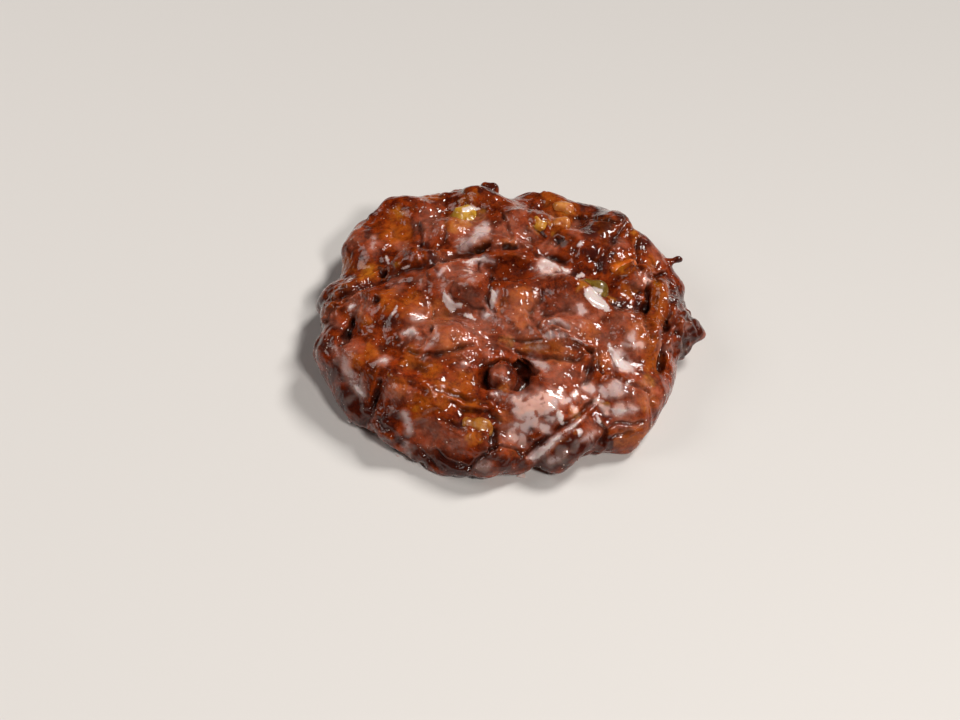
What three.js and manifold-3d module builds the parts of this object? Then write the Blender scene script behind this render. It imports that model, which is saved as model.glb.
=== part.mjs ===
// A fritter: lumps of fried dough pressed into one cake, with dice of apple showing in its creases.
// Millimetres. +Z is up, +X is to the right and +Y to the back. The origin is the middle of the flat base.
import * as THREE from "three";
import { RoundedBoxGeometry } from "three/addons/geometries/RoundedBoxGeometry.js";
import { mergeVertices } from "three/addons/utils/BufferGeometryUtils.js";
import Module from "manifold-3d";

// Driving dimensions of the whole cake
const LENGTH = 152;
const WIDTH = 138;
const CORE_TOP = 29;
const CORE_MIDDLE = 11;
const CORE_SHARE = 0.9; // the core's length over the cake's: the lobes round it make up the rest

// The dough gives a little everywhere, so that no lobe stays a true ellipsoid
const SWAY = 1.6;
const SWAY_WAVE = 31;
// For each axis, the direction that its wave runs in and where the wave starts
const SWAYS = [
  { along: new THREE.Vector3(0, 1, 0.7), start: 0.6 },
  { along: new THREE.Vector3(0.9, 0, -0.6), start: 2.1 },
  { along: new THREE.Vector3(0.8, 1, 0), start: 4.0 },
];

// Mesh fineness: an icosahedron's subdivision for a lobe of this mean half size, and its limits;
// the least detail that the dough keeps; and how close two points are to be welded into one
const SIZE_PER_DETAIL = 6;
const DETAIL_RANGE = [1, 3];
const CORE_DETAIL = 4;
const FINEST_DETAIL = 0.15;
const WELD = 1e-4;

// Dice of apple: the gap round each in its socket, its edges' rounding as a share of its least side,
// and how much it narrows from bottom to top
const SOCKET_GAP = 0.3;
const DICE_ROUNDING = 0.38;
const DICE_TAPER = 0.16;
const DICE_EDGE_STEPS = 1;

const FRIED_BROWN = 0x6b2f1a;
const DOUGH_ROUGHNESS = 0.35;
const APPLE_AMBER = 0xb9822c;
const APPLE_ROUGHNESS = 0.3;

// Lobes of dough: [x, y, z of the middle, half length, half width, half height, turn about Z in degrees]
const LOBES = {
  base: [-2, 0, 4, 70, 62, 8, 0],
  back_left_low: [-57, 28, 12, 13, 17, 12, -15],
  back_left: [-50, 44, 13, 16, 17, 13, 30],
  back_left_end: [-36, 56, 14, 17, 12, 13, 5],
  back_valley: [-26, 36, 20, 17, 10, 10, 12],
  back_apple: [-13, 54, 16, 18, 12.5, 14, 0],
  back_mid: [3, 38, 21, 19, 13, 13, -8],
  back_rim: [11, 57, 13, 21, 10.5, 12, -6],
  back_right_rim: [36, 52, 12, 19, 11, 10, -35],
  back_right: [37, 36, 19, 13, 15, 13, -25],
  back_nub_root: [-7.2, 63.2, 22.4, 3.4, 3, 3.4, 0],
  back_nub: [-7.8, 66, 24.6, 2.8, 2.4, 2.8, 0],
  back_nub_side: [-5, 66, 25.4, 2.4, 2.2, 2.8, 0],
  back_inner: [24, 24, 22, 15, 12, 11, -15],
  right_fold: [46, 25, 19, 13, 10, 12, 30],
  right_edge: [53, 28, 13, 11, 14, 11, 10],
  right_shoulder: [62, 13, 10, 8.5, 11, 9, 0],
  right_stalk: [62.5, 28.3, 18, 5, 1.7, 1.7, 0],
  right_bud: [67.3, 28.6, 18.4, 1.8, 1.8, 1.9, 0],
  right_amber: [47, 6, 20, 10, 11, 12, 0],
  right_inner: [33, 9, 19, 13, 9, 9, 0],
  right_thin: [59, 4, 17, 7, 18, 10, 6],
  right_ragged: [62, 0, 10, 9.2, 13.5, 9, 5],
  right_point: [66.8, -4.6, 11, 8.8, 5.4, 5.6, -14],
  right_tag_high: [67.3, 6.5, 12, 3.6, 3.4, 4.2, 20],
  right_tag_low: [67, -10.8, 8, 4.2, 3.2, 4.4, -20],
  right_big: [42, -17, 16, 18, 19, 16, -30],
  right_front: [42, -39, 13, 15, 11, 12, 15],
  right_low: [41, -46.5, 8, 15, 10.5, 9, 25],
  right_low_base: [32, -50, 6, 12, 8, 7, 0],
  ridge_left: [-60, 6, 16, 16, 9, 11, 35],
  ridge_mid: [-36, 17, 22, 20, 9, 12, 22],
  ridge_right: [-2, 20, 25, 24, 9, 11, 3],
  mid_back: [-27, 5, 22, 18, 12, 13, 15],
  mid_left: [-48, -12, 17, 18, 17, 14, 25],
  mid_knob: [-15, -1, 27, 10, 9, 10, 0],
  mid_amber: [4, -1, 26, 12, 9, 11, 0],
  mid_right: [23, -4, 23, 15, 12, 13, -8],
  mid_ripple: [19, -20, 23, 14, 9, 12, 8],
  mid_low: [-3, -16, 21, 14, 10, 10, 0],
  mid_front: [-25, -23, 19, 19, 12, 14, 5],
  front_wide: [-30, -40, 14, 21, 13, 13, -12],
  front_saddle: [-14, -46, 16, 16, 7, 9, -20],
  front_hazy: [13, -45, 13, 18, 14.5, 15, 15],
  front_roll: [23, -55.5, 9, 18, 7, 8, 35],
  front_mid: [-15, -58, 9, 14, 9, 10, -10],
  front_rim: [-4, -64, 5, 11, 6, 6, 5],
  front_rim_left: [-28, -59.5, 6, 14, 7, 7, -15],
  front_base_left: [-36, -52.5, 5, 13, 7, 6, -36],
  left_seam: [-47, -33, 14, 12, 12, 11, 20],
  left_low: [-40, -47, 9, 11, 10, 9, -35],
  left_base: [-45.5, -39.5, 5, 15, 8, 6, -45],
  left_dark: [-59.5, -28, 11, 12, 18, 11, 20],
  left_roll: [-66.5, -7, 13, 9, 15, 11, -10],
  left_ear: [-68.2, 13, 10, 7.6, 8, 8, 0],
};

// The open hollow at the front, and the knob of dough that stands in it
const HOLLOWS = {
  hollow: [0, -35, 30, 12, 6.5, 9, 0],
  shaft: [6, -36, 25, 5.5, 6, 12, 0],
};
const KNOB = [-6, -40, 23, 5.6, 5.4, 6.2, 0];

// The dice that show: [x, y, z of the middle, length, width, height, turn about Z, tip towards the front]
const APPLE_DICE = {
  apple_back_left: [-18.4, 45.8, 25.2, 11, 10, 8, 15, 28],
  apple_back_middle: [11.8, 36.2, 30.8, 7, 6.5, 6, -20, 30],
  apple_back_right: [22.4, 55.8, 21.4, 10, 6.5, 6.5, -20, 25],
  apple_back_inner: [20.6, 37, 30, 8, 7, 6, 10, 35],
  apple_right: [31, 1.6, 28.7, 12, 10, 8, -15, 30],
  apple_right_sliver: [43.5, 15, 28.6, 11, 5, 5, 25, 40],
  apple_front: [-13.6, -56.6, 17.8, 12, 8, 7, -8, 28],
};

const wasm = await Module();
wasm.setup();

function toSolid(geometry) {
  const bare = geometry.clone();
  bare.deleteAttribute("normal");
  bare.deleteAttribute("uv");
  const merged = mergeVertices(bare, WELD);
  const vertProperties = new Float32Array(merged.attributes.position.array);
  const triVerts = new Uint32Array(merged.index.array);
  return new wasm.Manifold(new wasm.Mesh({ numProp: 3, vertProperties, triVerts }));
}

function toGeometry(solid) {
  const { vertProperties, triVerts } = solid.getMesh();
  const geometry = new THREE.BufferGeometry();
  geometry.setAttribute("position", new THREE.BufferAttribute(vertProperties, 3));
  geometry.setIndex(new THREE.BufferAttribute(triVerts, 1));
  return geometry;
}

function placed(geometry, [x, y, z], turn, tip = 0) {
  geometry.rotateX(THREE.MathUtils.degToRad(tip));
  geometry.rotateZ(THREE.MathUtils.degToRad(turn));
  return geometry.translate(x, y, z);
}

function lump([x, y, z, ...shape], detail) {
  const [length, width, height, turn] = shape;
  const fine = Math.round((length + width + height) / 3 / SIZE_PER_DETAIL);
  const steps = detail ?? THREE.MathUtils.clamp(fine, ...DETAIL_RANGE);
  const ball = new THREE.IcosahedronGeometry(1, steps).scale(length, width, height);
  return toSolid(placed(ball, [x, y, z], turn));
}

// Moves each point by a smooth wave, up to SWAY each way
function swayed(geometry) {
  const position = geometry.attributes.position;
  const wave = (2 * Math.PI) / SWAY_WAVE;
  const point = new THREE.Vector3();
  for (let i = 0; i < position.count; i++) {
    point.fromBufferAttribute(position, i);
    const shifts = SWAYS.map(({ along, start }) => SWAY * Math.sin(wave * along.dot(point) + start));
    position.setXYZ(i, point.x + shifts[0], point.y + shifts[1], point.z + shifts[2]);
  }
  return geometry;
}

// The largest body of a solid, without any crumbs that a cut leaves
function largestBody(solid) {
  return solid.decompose().reduce((a, b) => (a.volume() > b.volume() ? a : b));
}

function belowGround() {
  const depth = 2 * CORE_TOP;
  return toSolid(new THREE.BoxGeometry(2 * LENGTH, 2 * WIDTH, depth).translate(0, 0, -depth / 2));
}

// A dice of apple with rounded edges, narrower at the top; grow widens it all round
function diceGeometry([x, y, z, length, width, height, turn, tip], grow = 0) {
  const least = Math.min(length, width, height);
  const box = new RoundedBoxGeometry(
    length + 2 * grow,
    width + 2 * grow,
    height + 2 * grow,
    DICE_EDGE_STEPS,
    DICE_ROUNDING * least,
  );
  const position = box.attributes.position;
  for (let i = 0; i < position.count; i++) {
    const narrow = 1 - (DICE_TAPER * position.getZ(i)) / height;
    position.setX(i, position.getX(i) * narrow);
    position.setY(i, position.getY(i) * narrow);
  }
  return placed(box, [x, y, z], turn, tip);
}

function dough() {
  const coreShape = [(LENGTH * CORE_SHARE) / 2, (WIDTH * CORE_SHARE) / 2, CORE_TOP - CORE_MIDDLE, 0];
  let cake = lump([0, 0, CORE_MIDDLE, ...coreShape], CORE_DETAIL);
  for (const lobe of Object.values(LOBES)) cake = cake.add(lump(lobe));
  for (const hollow of Object.values(HOLLOWS)) cake = cake.subtract(lump(hollow));
  cake = cake.add(lump(KNOB));
  cake = toSolid(swayed(toGeometry(cake)));
  for (const dice of Object.values(APPLE_DICE)) {
    cake = cake.subtract(toSolid(diceGeometry(dice, SOCKET_GAP)));
  }
  return toGeometry(largestBody(cake.subtract(belowGround())).simplify(FINEST_DETAIL));
}

function mesh(name, geometry, color, roughness) {
  const material = new THREE.MeshStandardMaterial({ color, roughness, metalness: 0 });
  const made = new THREE.Mesh(geometry, material);
  made.name = name;
  return made;
}

const fritter = new THREE.Group();
fritter.name = "apple_fritter";
fritter.add(mesh("dough", dough(), FRIED_BROWN, DOUGH_ROUGHNESS));
for (const [name, dice] of Object.entries(APPLE_DICE)) {
  fritter.add(mesh(name, diceGeometry(dice), APPLE_AMBER, APPLE_ROUGHNESS));
}

export default fritter;
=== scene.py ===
# A glazed fritter with dice of apple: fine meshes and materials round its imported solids.
# Shapes are worked out in millimetres, in the solids' own frame, and stored in metres.
import itertools
import math

import bpy
import numpy as np
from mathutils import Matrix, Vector


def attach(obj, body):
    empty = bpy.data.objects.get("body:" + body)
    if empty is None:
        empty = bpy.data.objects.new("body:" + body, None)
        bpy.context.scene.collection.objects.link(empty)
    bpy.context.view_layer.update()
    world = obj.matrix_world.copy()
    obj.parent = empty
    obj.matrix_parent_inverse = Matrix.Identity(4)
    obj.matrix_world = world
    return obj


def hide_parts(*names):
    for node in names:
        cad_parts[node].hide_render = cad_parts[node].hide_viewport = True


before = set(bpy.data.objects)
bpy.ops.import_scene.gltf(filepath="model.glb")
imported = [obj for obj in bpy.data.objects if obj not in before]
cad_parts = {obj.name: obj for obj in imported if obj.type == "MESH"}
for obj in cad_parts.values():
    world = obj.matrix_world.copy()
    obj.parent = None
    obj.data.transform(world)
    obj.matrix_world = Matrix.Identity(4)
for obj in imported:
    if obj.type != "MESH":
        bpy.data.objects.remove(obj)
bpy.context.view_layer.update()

MM = 0.001

# The photo's camera: place in millimetres, tilt below the horizon, and focal length in pixels
IMAGE_WIDTH = 960
IMAGE_HEIGHT = 720
FOCAL_PIXELS = 1534.6
CAMERA_PLACE = np.array([-12.2, -410.0, 457.2])
CAMERA_TILT = math.radians(48.7)
SENSOR_WIDTH = 36.0
# The search for the surface along a line of sight: the height where it starts, and its steps
SEARCH_TOP = 44.0
SEARCH_STEPS = 240

# Lumps of dough: x, y, z of the middle, half length, half width, half height, turn about Z in degrees
LOBES = {
    "core": (0, 0, 11, 68.4, 62.1, 18, 0),
    "base": (-2, 0, 4, 70, 62, 8, 0),
    "back_left_low": (-57, 28, 12, 13, 17, 12, -15),
    "back_left": (-50, 44, 13, 16, 17, 13, 30),
    "back_left_end": (-36, 56, 14, 17, 12, 13, 5),
    "back_valley": (-26, 36, 20, 17, 10, 10, 12),
    "back_apple": (-13, 54, 16, 18, 12.5, 14, 0),
    "back_mid": (3, 38, 21, 19, 13, 13, -8),
    "back_rim": (11, 57, 13, 21, 10.5, 12, -6),
    "back_right_rim": (36, 52, 12, 19, 11, 10, -35),
    "back_right": (37, 36, 19, 13, 15, 13, -25),
    "back_nub_root": (-7.2, 63.2, 22.4, 3.4, 3, 3.4, 0),
    "back_nub": (-7.8, 66, 24.6, 2.8, 2.4, 2.8, 0),
    "back_nub_side": (-5, 66, 25.4, 2.4, 2.2, 2.8, 0),
    "back_inner": (24, 24, 22, 15, 12, 11, -15),
    "right_fold": (46, 25, 19, 13, 10, 12, 30),
    "right_edge": (53, 28, 13, 11, 14, 11, 10),
    "right_shoulder": (62, 13, 10, 8.5, 11, 9, 0),
    "right_stalk": (62.5, 28.3, 18, 5, 1.7, 1.7, 0),
    "right_bud": (67.3, 28.6, 18.4, 1.8, 1.8, 1.9, 0),
    "right_amber": (47, 6, 20, 10, 11, 12, 0),
    "right_inner": (33, 9, 19, 13, 9, 9, 0),
    "right_thin": (59, 4, 17, 7, 18, 10, 6),
    "right_ragged": (62, 0, 10, 9.2, 13.5, 9, 5),
    "right_point": (66.8, -4.6, 11, 8.8, 5.4, 5.6, -14),
    "right_tag_high": (67.3, 6.5, 12, 3.6, 3.4, 4.2, 20),
    "right_tag_low": (67, -10.8, 8, 4.2, 3.2, 4.4, -20),
    "right_big": (42, -17, 16, 18, 19, 16, -30),
    "right_front": (42, -39, 13, 15, 11, 12, 15),
    "right_low": (41, -46.5, 8, 15, 10.5, 9, 25),
    "right_low_base": (32, -50, 6, 12, 8, 7, 0),
    "ridge_left": (-60, 6, 16, 16, 9, 11, 35),
    "ridge_mid": (-36, 17, 22, 20, 9, 12, 22),
    "ridge_right": (-2, 20, 25, 24, 9, 11, 3),
    "mid_back": (-27, 5, 22, 18, 12, 13, 15),
    "mid_left": (-48, -12, 17, 18, 17, 14, 25),
    "mid_knob": (-15, -1, 27, 10, 9, 10, 0),
    "mid_amber": (4, -1, 26, 12, 9, 11, 0),
    "mid_right": (23, -4, 23, 15, 12, 13, -8),
    "mid_ripple": (19, -20, 23, 14, 9, 12, 8),
    "mid_low": (-3, -16, 21, 14, 10, 10, 0),
    "mid_front": (-25, -23, 19, 19, 12, 14, 5),
    "front_wide": (-30, -40, 14, 21, 13, 13, -12),
    "front_saddle": (-14, -46, 16, 16, 7, 9, -20),
    "front_hazy": (13, -45, 13, 18, 14.5, 15, 15),
    "front_roll": (23, -55.5, 9, 18, 7, 8, 35),
    "front_mid": (-15, -58, 9, 14, 9, 10, -10),
    "front_rim": (-4, -64, 5, 11, 6, 6, 5),
    "front_rim_left": (-28, -59.5, 6, 14, 7, 7, -15),
    "front_base_left": (-36, -52.5, 5, 13, 7, 6, -36),
    "left_seam": (-47, -33, 14, 12, 12, 11, 20),
    "left_low": (-40, -47, 9, 11, 10, 9, -35),
    "left_base": (-45.5, -39.5, 5, 15, 8, 6, -45),
    "left_dark": (-59.5, -28, 11, 12, 18, 11, 20),
    "left_roll": (-66.5, -7, 13, 9, 15, 11, -10),
    "left_ear": (-68.2, 13, 10, 7.6, 8, 8, 0),
}
# How far a lump melts into those before it, as a share of its least half size, and the most that it may
MELT_SHARE = 0.6
MELT_MOST = 6.0

# Dice of apple: x, y, z of the middle, length, width and height,
# turn about Z and tip towards the front in degrees
APPLE_DICE = {
    "apple_back_left": (-18.4, 45.8, 25.2, 11, 10, 8, 15, 28),
    "apple_back_middle": (11.8, 36.2, 30.8, 7, 6.5, 6, -20, 30),
    "apple_back_right": (22.4, 55.8, 21.4, 10, 6.5, 6.5, -20, 25),
    "apple_back_inner": (20.6, 37, 30, 8, 7, 6, 10, 35),
    "apple_right": (31.0, 1.6, 28.7, 12, 10, 8, -15, 30),
    "apple_right_sliver": (43.5, 15, 28.6, 11, 5, 5, 25, 40),
    "apple_front": (-13.6, -56.6, 17.8, 12, 8, 7, -8, 28),
}
# Their rounding as a share of the least side, and their unevenness: its height and its size
DICE_ROUNDING = 0.45
DICE_UNEVENNESS = 0.8
DICE_UNEVEN_SIZE = 5.0

# The dough's sway, as in the solids, and a finer ripple: the reach each way and the wavelength
SWAY = 1.6
SWAY_WAVE = 31
RIPPLE = 0.8
RIPPLE_SIZE = 9.0
# The sway along X, Y and Z: how fast its wave runs along each axis, and where it starts
SWAYS = [(0, 1, 0.7, 0.6), (0.9, 0, -0.6, 2.1), (0.8, 1, 0, 4.0)]

# Relief within a few millimetres of the surface: folds along the zero lines of a noise, deep in patches,
# lumps, and finer unevenness with its wrinkles
SKIN = 4
FOLD_SIZE = 21.0
FOLD_PATCH_SIZE = 19.0
FOLD_DEPTH = 0.9
FOLD_SHARPNESS = 0.09
LUMP_SIZE = 8.5
LUMP_HEIGHT = 0.34
FINE_SIZE = 4.2
FINE_HEIGHT = 0.22
WRINKLE_SIZE = 6.5
WRINKLE_HEIGHT = 0.2
WRINKLE_SHIFT = 1.5
WRINKLE_SHIFT_SIZE = 7.0
# Drawn creases: the share of their depth that is kept, and how high their lips stand as a share of it
CREASE_SHARE = 0.9
CREASE_LIPS = 0.3
# How high thick glaze stands, and the share of the fine relief that film and thin glaze fill in
GLAZE_HEIGHT = 0.3
FILLED_SHARE = 0.7
# The size of the unevenness that the edges of drawn things get
EDGE_SIZE = 3.5

# Seeds of the random fields
SEEDS = {
    "ripple": 11,
    "underside": 31,
    "gaps": 33,
    "ball": 35,
    "folds": 41,
    "fold_depth": 43,
    "lumps": 44,
    "hidden_milk": 63,
    "hidden_veil": 65,
    "wrinkle_shift": 71,
    "wrinkles": 75,
    "fine": 78,
    "relief_edge": 81,
    "paint_edge": 91,
    "glaze_edge": 95,
    "dice": 120,
    "drips": 141,
}

# Gaps between lumps and pockets in them: radius and how deep the middle is sunk in millimetres,
# and the pixels where the photo shows them
GAPS = {
    "left_slit": (1.9, 1.6, [(352, 322), (347, 332), (343, 343)]),
    "left_roll": (0.9, 0.6, [(379, 383), (376, 393), (372, 406)]),
    "front_gap": (1.7, 1.2, [(494, 430), (493, 440), (492, 448)]),
    "right_gap": (1.8, 1.4, [(666, 327), (663, 338), (661, 352), (660, 368)]),
    "back_left_pocket": (1.5, 1.0, [(380, 272), (384, 274)]),
    "left_pocket": (1.3, 0.9, [(375, 299), (377, 301)]),
    "back_pocket": (1.0, 0.5, [(478, 249), (486, 245), (489, 244)]),
    "back_pocket_right": (1.1, 0.7, [(507, 246), (514, 245)]),
    "right_pocket": (1.4, 0.9, [(655, 277), (660, 276)]),
    "hollow": (5.4, -0.4, [(490, 376), (502, 373), (516, 378)]),
    "hole": (3.3, 5.5, [(521, 366), (529, 377), (522, 389)]),
    "ring": (1.2, 2.4, [(487, 386), (485, 376), (491, 365), (503, 361), (514, 365)]),
}
# Their raggedness, its size, and how far their edges are rounded
GAP_RAGGEDNESS = 0.5
GAP_RAGGED_SIZE = 3.5
GAP_MELT = 1.2

# The ball of dough in the hollow: the pixel of its middle, radius, how deep the middle is sunk,
# its unevenness and the size of that, and how far it melts into the hollow
BALL = (502, 379)
BALL_RADIUS = 5.8
BALL_SUNK = 3.4
BALL_UNEVENNESS = 0.4
BALL_UNEVEN_SIZE = 5.0
BALL_MELT = 0.8

# Small bumps and dents: pixel, radius in pixels, and height in millimetres
BUMPS = [
    (358, 243, 7, 0.8), (364, 319, 7, 1.0), (361, 329, 7, 0.7), (362, 362, 10, 0.9), (374, 355, 9, 1.0),
    (403, 363, 5, 1.0), (485, 353, 9, 0.8), (430, 312, 10, 0.8), (525, 301, 17, 1.3), (560, 300, 20, 1.0),
    (604, 362, 10, 0.9), (531, 437, 7, 0.8), (560, 418, 9, 0.9), (592, 394, 7, 0.7), (598, 421, 5, 0.6),
    (505, 456, 10, 0.8), (484, 465, 10, 0.8), (661, 267, 9, 1.0), (648, 266, 8, 0.8), (604, 231, 10, 0.7),
    (620, 246, 11, 0.6), (590, 244, 9, 0.6), (424, 228, 9, 0.6), (437, 224, 9, 0.6), (492, 395, 6, 2.0),
    (503, 399, 4, 0.6), (385, 233, 9, 0.7), (403, 231, 10, 0.7), (470, 290, 18, 1.5), (415, 333, 8, 0.6),
    (485, 273, 10, 0.7), (505, 268, 12, 0.6), (445, 345, 12, 0.8), (632, 345, 12, 0.6), (640, 285, 9, 0.8),
    (540, 347, 10, 0.7), (565, 352, 10, 0.5), (616, 392, 10, 0.6), (630, 440, 12, 0.5), (440, 445, 12, 0.5),
    (398, 338, 6, 0.8), (395, 414, 8, 0.7), (408, 432, 7, 0.6), (575, 440, 9, 0.5), (563, 455, 8, 0.5),
    (368, 236, 5, -1.1), (403, 254, 6, -0.7), (430, 329, 4, -0.9), (463, 347, 6, -1.0), (594, 262, 7, -1.1),
    (557, 241, 4, -0.8), (590, 352, 6, -0.9), (461, 424, 4, -0.8), (600, 441, 5, -0.6), (530, 430, 5, -0.8),
    (640, 292, 5, -0.8), (546, 419, 5, -0.6), (655, 397, 5, -0.7), (393, 265, 5, -0.5), (574, 249, 5, -0.6),
    (676, 302, 5, 1.0), (683, 305, 5, 1.2), (690, 312, 5, 1.1), (696, 321, 5, 1.1), (681, 323, 6, 1.2),
    (686, 335, 5, 1.2), (695, 337, 4, 0.9), (677, 343, 5, 1.0), (683, 351, 5, 1.1), (679, 313, 5, -1.0),
    (687, 320, 5, -1.2), (691, 329, 5, -1.0), (676, 333, 5, -1.1), (690, 342, 5, -1.0), (675, 356, 5, -0.9),
]

# Creases: depth in millimetres, half width in pixels, and the pixels of the photo that each runs through
CREASES = {
    "back_fold": (
        1.7, 4.6, [(330, 300), (352, 292), (372, 282), (392, 274), (410, 270), (427, 265), (441, 260)],
    ),
    "back_fold_right": (1.4, 4.2, [(441, 260), (465, 253), (490, 249), (515, 247), (540, 254), (566, 262)]),
    "strand_low": (0.9, 1.3, [(331, 296), (345, 294), (358, 290), (371, 284)]),
    "strand_high": (0.8, 1.1, [(336, 289), (350, 287), (362, 282)]),
    "skin_edge": (0.8, 1.3, [(324, 323), (330, 314), (337, 307), (347, 303)]),
    "left_roll": (0.9, 3.0, [(382, 372), (379, 383), (376, 393), (373, 404), (369, 415), (365, 424)]),
    "left_roll_side": (0.5, 2.0, [(386, 374), (383, 390), (382, 404), (387, 415)]),
    "front_left": (0.7, 2.6, [(386, 381), (400, 384), (412, 387), (424, 391)]),
    "low_left": (1.0, 2.4, [(376, 420), (384, 427), (393, 433), (399, 440), (408, 456)]),
    "mid_fold": (1.3, 2.4, [(424, 358), (438, 353), (451, 351), (459, 349), (465, 344), (474, 345)]),
    "left_ledge": (0.9, 1.6, [(408, 350), (418, 354), (430, 354)]),
    "knob_left": (0.7, 2.0, [(452, 283), (448, 291), (452, 299), (461, 301)]),
    "knob_right": (0.9, 2.0, [(492, 279), (490, 288), (487, 297), (489, 305), (495, 311)]),
    "knob_low": (0.5, 2.0, [(463, 304), (474, 309), (484, 308)]),
    "round_right": (0.7, 2.4, [(524, 311), (533, 308), (540, 301), (541, 291)]),
    "round_left": (0.5, 2.4, [(503, 292), (500, 303), (502, 315), (511, 325)]),
    "red_lump": (0.8, 2.6, [(531, 312), (534, 322), (540, 331), (546, 336)]),
    "ripple": (1.3, 1.5, [(542, 328), (547, 325), (553, 323), (561, 325), (569, 331)]),
    "ripple_left": (0.8, 1.2, [(551, 329), (552, 337)]),
    "ripple_mid": (0.8, 1.2, [(558, 330), (559, 339)]),
    "ripple_right": (0.8, 1.2, [(565, 333), (566, 341)]),
    "glassy_low": (1.1, 2.4, [(516, 352), (530, 356), (545, 358), (562, 359), (576, 360), (585, 356)]),
    "glassy_top": (0.8, 1.4, [(512, 339), (524, 340), (540, 340)]),
    "spike_under": (0.9, 1.3, [(575, 343), (584, 348), (592, 352)]),
    "right_mid": (1.4, 3.0, [(590, 350), (592, 360), (588, 372), (585, 384)]),
    "lens_left": (1.1, 1.5, [(597, 351), (597, 364), (603, 375)]),
    "lens_right": (0.8, 1.3, [(609, 351), (614, 364), (613, 376)]),
    "right_front": (1.3, 1.6, [(605, 379), (616, 375), (625, 381), (637, 386), (649, 392)]),
    "right_low": (0.9, 1.3, [(610, 437), (621, 435), (632, 431)]),
    "right_low_fold": (1.0, 1.6, [(606, 428), (616, 424), (630, 423), (642, 420)]),
    "roll_top": (
        1.4, 2.6, [(526, 453), (538, 444), (549, 436), (561, 428), (574, 419), (585, 410), (590, 402)],
    ),
    "roll_end": (1.8, 2.0, [(583, 458), (594, 452), (603, 442), (606, 432), (601, 426)]),
    "front_slit": (0.9, 2.2, [(441, 419), (450, 423), (457, 427), (463, 430)]),
    "front_lump_top": (1.2, 1.6, [(488, 449), (497, 447), (508, 446), (517, 449), (522, 457)]),
    "front_lump_left": (1.2, 1.6, [(470, 468), (477, 460), (485, 455), (490, 449)]),
    "front_base": (0.9, 1.6, [(422, 451), (431, 460), (440, 469)]),
    "front_base_mid": (1.0, 1.8, [(434, 450), (445, 459), (456, 465), (470, 468)]),
    "strand_front": (0.6, 2.4, [(436, 390), (449, 394), (460, 398), (472, 400)]),
    "lip_under": (0.8, 2.6, [(464, 411), (476, 412), (488, 414), (497, 420)]),
    "back_right": (1.1, 2.4, [(626, 222), (619, 232), (611, 244), (604, 253), (598, 263), (597, 272)]),
    "back_right_rim": (1.1, 1.6, [(577, 217), (590, 218), (605, 220), (617, 222)]),
    "dark_corner": (1.0, 1.6, [(553, 245), (557, 240), (563, 239)]),
    "right_back": (1.3, 1.8, [(637, 241), (638, 252), (637, 262), (641, 268)]),
    "right_pit": (1.5, 2.2, [(650, 275), (656, 277), (662, 274)]),
    "blade_left": (1.5, 2.4, [(647, 284), (648, 300), (645, 312), (647, 325), (652, 338)]),
    "blade_right": (1.3, 1.8, [(670, 285), (671, 300), (670, 312), (667, 322)]),
    "right_shade": (1.5, 3.4, [(612, 303), (622, 306), (634, 308), (645, 308)]),
    "back_mid_left": (0.9, 2.0, [(418, 225), (422, 236), (420, 250), (424, 262)]),
    "back_mid": (0.8, 1.8, [(446, 212), (446, 226), (444, 240), (436, 252)]),
    "back_mid_right": (0.8, 1.8, [(500, 210), (506, 222), (512, 236), (508, 246)]),
    "back_apple_right": (0.7, 1.8, [(530, 205), (527, 216), (533, 228), (545, 236)]),
}
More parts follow.
